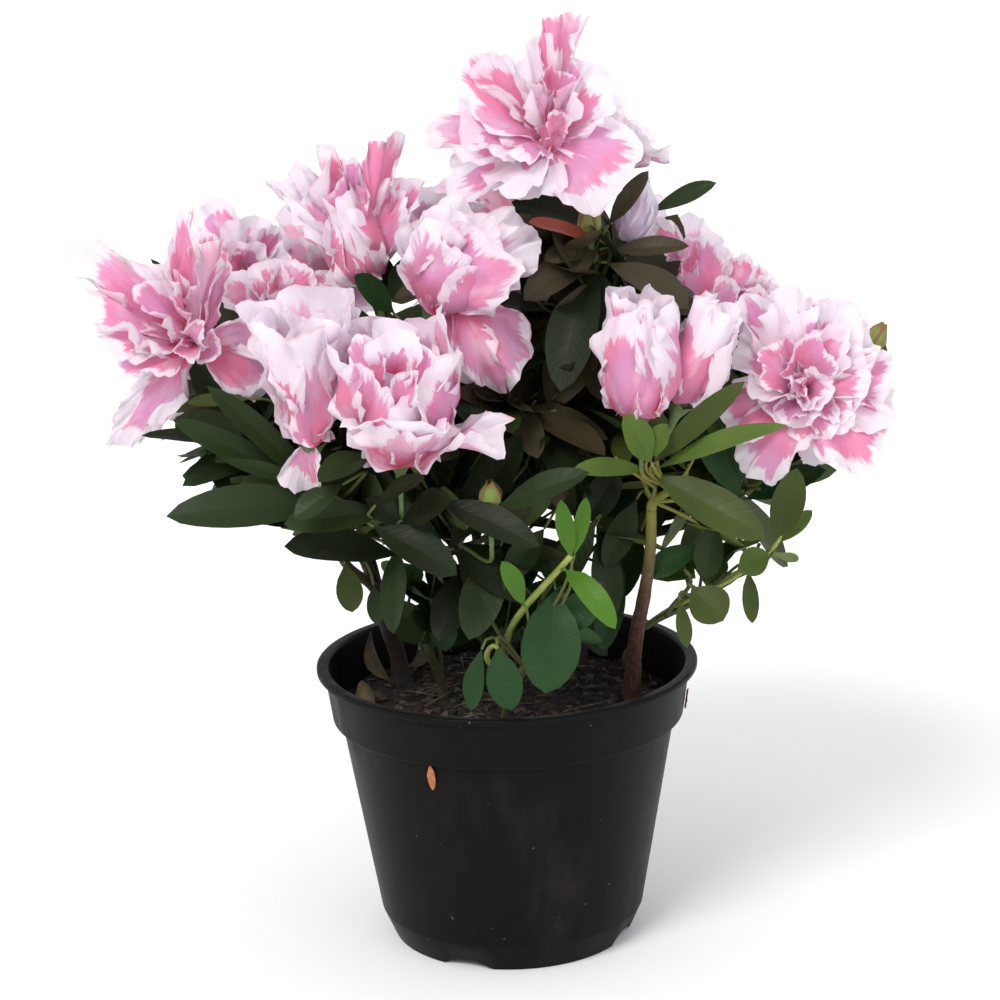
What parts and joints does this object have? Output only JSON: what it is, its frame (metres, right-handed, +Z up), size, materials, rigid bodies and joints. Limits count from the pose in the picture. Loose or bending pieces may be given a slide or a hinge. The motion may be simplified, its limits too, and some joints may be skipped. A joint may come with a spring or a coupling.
{
  "type": "potted azalea shrub",
  "caption": "Bushy pot azalea with ruffled pink and white double blooms and dark green leaves on woody stems, growing in compost in a round, tapered black plastic pot.",
  "frame": {"origin": "centre of the pot's flat underside", "axes": "+Z up; the side that the picture shows faces -Y, with +X on its right"},
  "size_m": [0.2561, 0.2209, 0.3109],
  "materials": {
    "pot_plastic": "near-black satin moulded plastic, lightly dusty",
    "compost": "dark moist compost with bark chips and fallen leaves",
    "bark": "rough red-brown bark, greener towards the tips",
    "leaf": "leathery dark green leaf with a soft shine",
    "young_leaf": "soft bright green young leaf",
    "petal": "thin ruffled petal, mid-pink with white margins and a deeper throat"
  },
  "bodies": {
    "root": {"pot": "pot_plastic", "compost": "compost", "stem_main": "bark", "stem_left": "bark", "stem_right": "bark", "stem_back": "bark", "bough_top": "bark", "bough_middle": "bark", "bough_front": "bark", "bough_back": "bark", "bough_left": "bark", "bough_left_low": "bark", "bough_back_left": "bark", "bough_far_right": "bark", "bough_back_right": "bark", "leaves_top": "leaf", "leaves_middle": "leaf", "leaves_left": "leaf", "leaves_left_low": "leaf", "leaves_front": "leaf", "leaves_right": "leaf", "leaves_far_right": "leaf", "leaves_back_left": "leaf", "leaves_back": "leaf", "leaves_back_right": "leaf", "leaves_low": "young_leaf", "sprout_front": "young_leaf", "sprout_right": "young_leaf", "blossom_top": "petal", "blossom_middle": "petal", "blossom_left": "petal", "blossom_left_low": "petal", "blossom_front": "petal", "blossom_right": "petal", "blossom_far_right": "petal", "blossom_back_left": "petal", "blossom_back": "petal", "blossom_back_right": "petal"}
  },
  "joints": []
}
